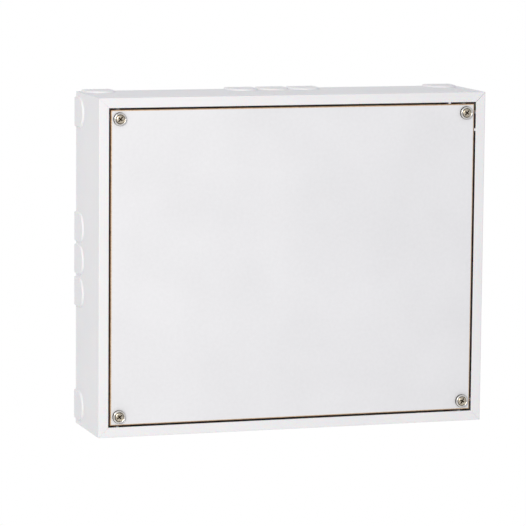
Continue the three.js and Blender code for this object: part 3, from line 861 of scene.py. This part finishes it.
@dataclass
class CoverScrews:
    """Four slotted cross-head screws in cup washers, each turned to its own angle."""

    sides: int = 56
    cup: tuple[tuple[float, float], ...] = (
        (2.55, 0.3), (5.95, 0.3), (6.0, 0.42), (5.97, 0.8), (5.8, 1.5), (5.64, 2.1), (5.5, 2.5),
        (5.3, 2.76), (5.0, 2.88), (4.8, 2.9), (4.6, 2.85), (4.4, 2.68), (4.22, 2.36), (3.4, 1.58),
        (2.55, 0.8),
    )
    head: tuple[tuple[float, float], ...] = (
        (1.85, 0.5), (3.48, 2.08), (3.6, 2.2), (3.5, 2.34), (3.1, 2.52), (2.4, 2.67), (1.6, 2.76),
        (0.8, 2.79), (0, 2.8),
    )
    slot_long: float = 5.8
    slot_across: float = 1.2
    slot_deep: float = 1.6
    slot_corner: float = 0.12
    cross_long: float = 0.72  # share of the slot's length
    cross_deeper: float = 0.5
    shade_below_rim: float = 0.85  # mm, from the rim down to where the painted shade begins
    shade_above_board: float = 0.1  # mm, from the board up to where the painted shade ends
    tip: float = 1.0  # mm, radius of the blunt tip
    taper: float = 0.7  # and the height over which it widens
    root: float = 1.45  # mm, radius at the bottom of the thread
    crest: float = 1.85
    pitch: float = 0.7
    flank: float = 0.42  # share of a pitch from the root to the crest
    flat: float = 0.5  # and to the far side of the crest
    length: float = 19.0
    lead: float = 1.0  # mm of plain shank at the tip
    neck: float = 0.9  # and under the head
    # degrees, where each screw came to rest
    turns: tuple[tuple[str, float], ...] = (("tl", 50), ("tr", 50), ("bl", 35), ("br", 60))

    def build(self) -> None:
        """Models one washer and one screw, and copies them to the four corners."""
        washer = turned("washer_master", [*self.cup, self.cup[0]], self.sides, ring=True)
        screw = self.screw()
        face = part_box("cover_board")[0].y
        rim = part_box("cup_washer_tl")[0].y / MM
        shade_band = (rim + self.shade_below_rim, face / MM - self.shade_above_board)
        # Painted shade: the cup's outer wall and inner bowl, and the screws' slots, are darkened
        # within this band.
        nickel = replace(NICKEL, name="nickel_cup_plate", shade_tone="#2e2b28", shade_band=shade_band)
        chromate = replace(YELLOW_ZINC, name="chromated_screw_plate", shade_tone="#3a301f", shade_band=shade_band)
        for corner, turn in self.turns:
            middle = sum(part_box(f"cup_washer_{corner}"), Vector()) / 2
            place = Vector((middle.x, face, middle.z))
            ring = another(washer, f"washer_{corner}")
            set_down(ring, place, FACE_OUT)
            finish_piece(ring, nickel, "nickel", f"cup_washer_{corner}", f"cup_washer_{corner}")
            own = another(screw, f"screw_{corner}")
            set_down(own, place, FACE_OUT, turn)
            finish_piece(own, chromate, "yellow_zinc", f"cover_screw_{corner}",
                         f"cover_screw_{corner}")
        dispose(washer, screw)

    def screw(self) -> bpy.types.Object:
        """Models one screw: a threaded shank under a raised head with a slot and a cross.

        Returns:
            The screw, along +Z, its seat at the origin.
        """
        thread = []
        height = -self.length + self.lead
        while height < -self.neck:
            thread += [(self.root, height), (self.crest, height + self.pitch * self.flank),
                       (self.crest, height + self.pitch * self.flat)]
            height += self.pitch
        rings = [(self.tip, -self.length), (self.root, -self.length + self.taper), *thread,
                 (self.root, height), *self.head]
        screw = turned("screw_master", rings, self.sides)
        top = self.head[-1][1]
        half, across, floor = self.slot_long / 2, self.slot_across / 2, top - self.slot_deep
        short, below = half * self.cross_long, floor - self.cross_deeper
        cut(screw, slab("slot_tool", (-half, -across, floor), (half, across, top + CLEAR),
                        self.slot_corner),
            slab("cross_tool", (-across, -short, below), (across, short, top + CLEAR),
                 self.slot_corner))
        smooth(screw, SMOOTH_TURNED)
        return screw


# ---- Inside -------------------------------------------------------------------------------


@dataclass
class Rail:
    """The rail on the back plate and its two screws."""

    arris: float = 0.25
    screw_arris: float = 0.2

    def build(self) -> None:
        """Models the rail and its screws."""
        refined("din_rail", "rail_strip", self.arris)
        for side in ("left", "right"):
            refined(f"rail_screw_{side}", f"rail_fixing_{side}", self.screw_arris)


@dataclass
class Device:
    """A modular switch: housing, toggle, rail clip, terminals, label carrier and window."""

    name: str
    poles: int = 1
    module: float = 18.0  # mm, width of one pole
    housing_arris: float = 0.45
    toggle_arris: float = 0.5
    clip_arris: float = 0.3
    screw_from_end: float = 8.0
    screw_below: float = 1.4  # from the shoulder down to the terminal screw's head
    shoulder: float = 12.2  # from the nose back to the shoulder
    entry_below: float = 22.8  # from the shoulder to the middle of the wire entry
    nose_half: float = 22.5
    screw_rings: tuple[tuple[float, float], ...] = (
        (1.6, -6.6), (1.75, -6.4), (1.75, -2.2), (2.55, -2.2), (2.75, -2.0), (2.75, -0.4),
        (2.4, -0.05), (1.2, 0), (0, 0),
    )
    screw_sides: int = 24
    slot: tuple[float, float] = (2.2, 1.1)  # half its length, and its depth
    cross: tuple[float, float] = (1.5, 1.4)
    slot_half: float = 0.4  # half the width of both
    cage: tuple[float, float] = (3.3, 4.3)  # half the clamp's width and height
    cage_ends: tuple[float, float] = (9.8, 1.6)  # from the housing's end to its back and its mouth
    cage_wall: float = 0.8
    cage_hollow: float = 7.2
    cage_arris: float = 0.18
    label_margin: float = 2.6  # from the housing's side to the label carrier
    label_span: tuple[float, float] = (2.2, 8.8)  # from the nose's lower end
    label_depths: tuple[float, float] = (0.25, 0.5)  # out of the nose, and into it
    label_arris: float = 0.2
    label_rim: tuple[float, float] = (0.7, 0.15)  # width and height of its raised rim
    window_half: float = 2.4
    window_span: tuple[float, float] = (7.2, 4.6)  # from the nose's upper end
    window_depths: tuple[float, float] = (0.2, 0.4)
    window_arris: float = 0.35

    def build(self) -> None:
        """Models the housing and its moving parts, then what is set into it."""
        refined(f"{self.name}_body", f"{self.name}_housing", self.housing_arris)
        refined(f"{self.name}_toggle", f"{self.name}_lever", self.toggle_arris, 3)
        refined(f"{self.name}_rail_clip", f"{self.name}_foot_clip", self.clip_arris)
        low, high = (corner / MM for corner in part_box(f"{self.name}_body"))
        centre = (low.x + high.x) / 2
        columns = [centre + (i - (self.poles - 1) / 2) * self.module for i in range(self.poles)]
        self.terminals(columns, low, high)
        self.front(centre, low, high)

    def terminals(self, columns: list[float], low: Vector, high: Vector) -> None:
        """Sets a clamp and its screw at both ends of each pole.

        Args:
            columns: where each pole is, along X, in mm.
            low: the housing's lowest corner, in mm.
            high: its highest corner, in mm.
        """
        screw = self.terminal_screw()
        clamp = self.clamp()
        seat = low.y + self.shoulder + self.screw_below
        entry = low.y + self.shoulder + self.entry_below
        screws, clamps = [], []
        for x in columns:
            for sign in (-1, 1):
                end = sign * high.z
                one = another(screw, "terminal_screw")
                set_down(one, Vector((x, seat, end - sign * self.screw_from_end)) * MM, FACE_OUT)
                screws.append(one)
                other = another(clamp, "terminal_clamp")
                set_down(other, Vector((x, entry, end)) * MM, 180 if sign < 0 else 0)
                clamps.append(other)
        dispose(screw, clamp)
        finish_piece(merged(screws, f"{self.name}_terminal_screws"), ZINC, "zinc", "enclosure")
        finish_piece(merged(clamps, f"{self.name}_terminal_clamps"), ZINC, "zinc", "enclosure")

    def terminal_screw(self) -> bpy.types.Object:
        """Models a terminal screw with a slot and a cross, its head's top at the origin.

        Returns:
            The screw, along +Z.
        """
        screw = turned("terminal_screw_master", list(self.screw_rings), self.screw_sides)
        half, (along, slot), (short, cross) = self.slot_half, self.slot, self.cross
        cut(screw, slab("slot_tool", (-along, -half, -slot), (along, half, CLEAR)),
            slab("cross_tool", (-half, -short, -cross), (half, short, CLEAR)))
        return screw

    def clamp(self) -> bpy.types.Object:
        """Models the steel cage that takes a wire, its mouth facing +Z, just below the origin.

        Returns:
            The cage.
        """
        (x, y), (back, mouth) = self.cage, self.cage_ends
        cage = slab("clamp_master", (-x, -y, -back), (x, y, -mouth))
        edit(cage)
        choose(cage, lambda middle, normal: normal.z > FACING)
        bpy.ops.mesh.inset(thickness=self.cage_wall * MM)
        bpy.ops.mesh.extrude_region_move(
            TRANSFORM_OT_translate={"value": (0, 0, -self.cage_hollow * MM)})
        done()
        round_edges(cage, self.cage_arris)
        return cage

    def front(self, centre: float, low: Vector, high: Vector) -> None:
        """Sets a blank label carrier and a position window into the nose.

        Args:
            centre: the device's middle along X, in mm.
            low: the housing's lowest corner, in mm.
            high: its highest corner, in mm.
        """
        half = (high.x - low.x) / 2 - self.label_margin
        (start, end), (out, into) = self.label_span, self.label_depths
        label = slab(f"{self.name}_label_carrier",
                     (centre - half, low.y - out, start - self.nose_half),
                     (centre + half, low.y + into, end - self.nose_half), self.label_arris)
        edit(label)
        choose(label, lambda middle, normal: normal.y < -FACING)
        rim, sunk = self.label_rim
        bpy.ops.mesh.inset(thickness=rim * MM)
        bpy.ops.mesh.extrude_region_move(TRANSFORM_OT_translate={"value": (0, sunk * MM, 0)})
        done()
        smooth(label)
        finish_piece(label, LABEL_WHITE, "device_grey", "enclosure")
        half, (start, end) = self.window_half, self.window_span
        out, into = self.window_depths
        window = slab(f"{self.name}_position_window",
                      (centre - half, low.y - out, self.nose_half - start),
                      (centre + half, low.y + into, self.nose_half - end), self.window_arris, 3)
        smooth(window)
        finish_piece(window, SIGNAL_RED, "device_grey", "enclosure")


@dataclass
class Bars:
    """The comb busbar in its cover, and the neutral and earth bars on their holders."""

    strip_arris: float = 0.2
    cover_arris: float = 0.3
    bar_arris: float = 0.4
    holder_arris: float = 0.4
    holes: int = 9
    pitch: float = 9.0
    screw_sides: int = 24
    slot: tuple[float, float, float] = (2.6, 0.35, 0.9)  # half its length and width, and its depth
    turn: tuple[float, float] = (20.0, 47.0)  # degrees, the first screw's and from one to the next
    screw: tuple[tuple[float, float], ...] = (
        (1.3, -3.4), (1.5, -3.2), (1.5, 0.05), (2.2, 0.05), (2.35, 0.2), (2.35, 1.2), (2.1, 1.5),
        (1.0, 1.58), (0, 1.6),
    )

    def build(self) -> None:
        """Models the conductors and what holds them."""
        refined("comb_busbar", "comb_strip", self.strip_arris, 1)
        refined("comb_busbar_cover", "comb_shield", self.cover_arris)
        for kind in ("neutral", "earth"):
            refined(f"{kind}_bar", f"{kind}_terminal_bar", self.bar_arris)
            refined(f"{kind}_bar_holder", f"{kind}_bar_carrier", self.holder_arris)
            self.clamping_screws(kind)

    def clamping_screws(self, kind: str) -> None:
        """Sets one slotted screw over each of a bar's holes.

        Args:
            kind: "neutral" or "earth".
        """
        master = turned("bar_screw_master", list(self.screw), self.screw_sides)
        top = self.screw[-1][1]
        along, across, deep = self.slot
        cut(master, slab("slot_tool", (-along, -across, top - deep),
                         (along, across, top + CLEAR)))
        low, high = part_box(f"{kind}_bar")
        middle, (first, step) = (low.z + high.z) / 2, self.turn
        screws = []
        for i in range(self.holes):
            one = another(master, "bar_screw")
            place = Vector(((i - (self.holes - 1) / 2) * self.pitch * MM, low.y, middle))
            set_down(one, place, FACE_OUT, first + i * step)
            screws.append(one)
        dispose(master)
        finish_piece(merged(screws, f"{kind}_bar_screws"), ZINC, "zinc", "enclosure")


# ---- Studio -------------------------------------------------------------------------------


@dataclass(frozen=True)
class Softbox:
    """One soft area light."""

    name: str
    place: tuple[float, float, float]
    aim: tuple[float, float, float]
    size: float  # m across
    watts: float
    colour: str = "#fffcf4"  # a trace warmer than the room

    def build(self) -> None:
        """Adds the light and turns it to its aim."""
        data = bpy.data.lights.new(self.name, "AREA")
        data.shape = "DISK"
        data.size = self.size
        data.energy = self.watts
        data.color = linear(self.colour)[:3]
        light = bpy.data.objects.new(self.name, data)
        light.visible_camera = False
        bpy.context.scene.collection.objects.link(light)
        light.location = self.place
        way = Vector(self.aim) - Vector(self.place)
        light.rotation_euler = way.to_track_quat("-Z", "Y").to_euler()


@dataclass
class Studio:
    """A white sweep, a pale floor, soft boxes and the camera."""

    sweep: float = 1.0  # brightness of the white sweep behind the object
    sweep_edge: tuple[float, float] = (0.35, 0.8)  # how far along +Y it begins and is full
    room: float = 0.6  # brightness of the rest of the room
    room_tint: str = "#f5f6fd"
    floor_drop: float = 0.75  # m below the object's middle
    floor_half: float = 1.0  # m, half its side
    floor_cells: int = 8
    floor_glow: float = 0.1  # lit from within a little, as a light table is, so that it stays pale
    camera_place: tuple[float, float, float] = (-0.90313, -2.80109, 0.37697)
    camera_turn: tuple[float, float, float] = (82.5046, -0.5209, -17.7338)
    lens: float = 222.157  # mm
    sensor: float = 36.0
    clip: tuple[float, float] = (0.05, 50.0)  # m
    boxes: tuple[Softbox, ...] = (
        Softbox("key_box", (-0.98, -1.7, 0.66), (0.0, -0.08, 0.0), 0.7, 22.1),
    )

    def build(self) -> None:
        """Builds the whole studio."""
        self.build_world()
        self.build_floor()
        for box in self.boxes:
            box.build()
        self.build_camera()
        bpy.context.scene.view_settings.view_transform = "Standard"

    def build_world(self) -> None:
        """Makes the room's light: a white sweep behind the object and a dimmer room round it."""
        world = bpy.data.worlds.new("studio_room")
        bpy.context.scene.world = world
        world.use_nodes = True
        tree = world.node_tree
        way = add_node(tree, "TexCoord").outputs["Generated"]
        depth = add_node(tree, "SeparateXYZ", {"Vector": way}).outputs["Y"]
        near, far = self.sweep_edge
        level = add_node(tree, "MapRange", {"Value": depth, "From Min": near, "From Max": far,
                                            "To Min": self.room, "To Max": self.sweep},
                         interpolation_type="SMOOTHSTEP").outputs["Result"]
        share = add_node(tree, "MapRange", {"Value": depth, "From Min": near, "From Max": far})
        tint = add_node(tree, "Mix", {0: share.outputs["Result"], 6: linear(self.room_tint),
                                      7: linear("#ffffff")}, data_type="RGBA").outputs[2]
        tree.links.new(level, tree.nodes["Background"].inputs["Strength"])
        tree.links.new(tint, tree.nodes["Background"].inputs["Color"])

    def build_floor(self) -> None:
        """Lays the flat, pale floor below the object."""
        bpy.ops.object.select_all(action="DESELECT")
        bpy.ops.mesh.primitive_grid_add(x_subdivisions=self.floor_cells,
                                        y_subdivisions=self.floor_cells, size=self.floor_half * 2,
                                        location=(0, 0, -self.floor_drop))
        floor = bpy.context.active_object
        floor.name = "studio_floor"
        bpy.ops.object.transform_apply(location=True, rotation=True, scale=True)
        paint = STUDIO_FLOOR.material()
        shader = paint.node_tree.nodes["Principled BSDF"]
        shader.inputs["Emission Color"].default_value = linear("#ffffff")
        shader.inputs["Emission Strength"].default_value = self.floor_glow
        floor.data.materials.append(paint)

    def build_camera(self) -> None:
        """Adds the camera and makes it the scene's."""
        data = bpy.data.cameras.new("studio_camera")
        data.lens = self.lens
        data.sensor_width = self.sensor
        data.clip_start, data.clip_end = self.clip
        camera = bpy.data.objects.new("studio_camera", data)
        bpy.context.scene.collection.objects.link(camera)
        camera.location = self.camera_place
        camera.rotation_euler = [math.radians(a) for a in self.camera_turn]
        bpy.context.scene.camera = camera


def main() -> None:
    """Builds the studio and every sub-assembly."""
    logging.basicConfig(level=logging.INFO, format="%(name)s: %(message)s")
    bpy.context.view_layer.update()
    Studio().build()
    Box().build()
    Cover().build()
    CoverScrews().build()
    Rail().build()
    Device("main_switch", poles=2).build()
    for name in BREAKERS:
        Device(name).build()
    Bars().build()


if __name__ == "__main__":
    main()
